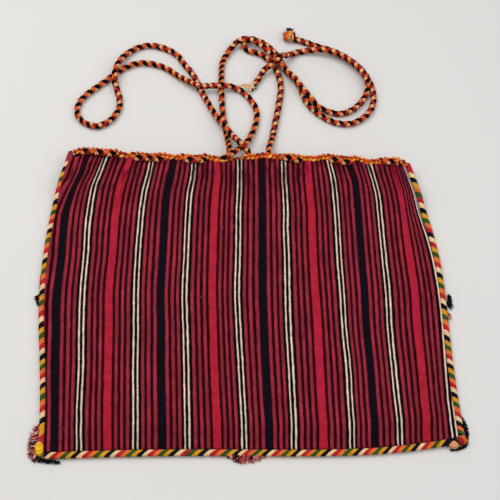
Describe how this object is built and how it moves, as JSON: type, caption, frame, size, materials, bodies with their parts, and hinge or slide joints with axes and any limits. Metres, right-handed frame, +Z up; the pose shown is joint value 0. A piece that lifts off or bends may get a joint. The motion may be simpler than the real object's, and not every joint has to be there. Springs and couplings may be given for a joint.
{
  "type": "drawstring shoulder bag",
  "caption": "Flat pouch of striped woven cloth with wrapped edging, flat braids along the mouth, and a round braided drawstring laced through both mouth edges that serves as shoulder cord.",
  "frame": {"origin": "centre of the pouch's box, without the free cord, on the surface that the bag lies on", "axes": "+X to the right along the mouth, +Y from the bottom edge towards the mouth, +Z up out of the front cloth; the bag lies on its back"},
  "size_m": [0.4184, 0.5145, 0.0217],
  "materials": {
    "cloth": "warp-faced woven wool, matt, lengthwise stripes of maroon, red, black, navy and cream",
    "edging": "wool yarn wrapped diagonally in six colours, matt",
    "mouth_braid": "flat chevron braid of yellow and orange-red wool, matt",
    "cord": "round four-strand wool braid in black, orange, red and cream, matt",
    "yellow_yarn": "close wraps of yellow wool, matt",
    "cream_yarn": "close wraps of cream wool, matt",
    "navy_yarn": "loose navy and black wool ends, matt",
    "fringe_yarn": "cut wool ends in red, pink, cream and dark blue, matt"
  },
  "bodies": {
    "back": {"back_panel": "cloth", "back_mouth_braid": "mouth_braid", "left_edging": "edging", "right_edging": "edging", "bottom_edging": "edging", "corner_binding_left": "yellow_yarn", "corner_binding_right": "cream_yarn", "corner_fringe_left": "fringe_yarn", "corner_fringe_right": "navy_yarn", "base_fringe_knot": "navy_yarn", "base_fringe": "fringe_yarn", "drawstring_back_left": "cord", "drawstring_back_right": "cord", "strap_loop": "cord", "strap_tail_bound": "cord", "strap_tail_knotted": "cord", "end_knot": "cord", "end_tuft": "navy_yarn", "end_whipping": "cream_yarn", "end_fray": "cord"},
    "front": {"front_panel": "cloth", "front_mouth_braid_left": "mouth_braid", "front_mouth_braid_right": "mouth_braid", "drawstring_front_left": "cord", "drawstring_front_right": "cord"},
    "left_tuft": {"left_tuft_knot": "navy_yarn", "left_tuft": "navy_yarn"},
    "right_tuft": {"right_tuft_knot": "navy_yarn", "right_tuft": "navy_yarn"}
  },
  "joints": [
    {"name": "mouth_opening", "type": "hinge", "parent": "back", "child": "front", "pos_m": [0, -0.1579, 0.004], "axis": [1, 0, 0], "range_deg": [0, 8]},
    {"name": "left_tuft_swing", "type": "hinge", "parent": "back", "child": "left_tuft", "pos_m": [-0.19982, 0.00699, 0.00293], "axis": [0, 0, 1], "range_deg": [-15, 15]},
    {"name": "right_tuft_swing", "type": "hinge", "parent": "back", "child": "right_tuft", "pos_m": [0.20119, -0.01028, 0.00293], "axis": [0, 0, 1], "range_deg": [-15, 15]}
  ]
}
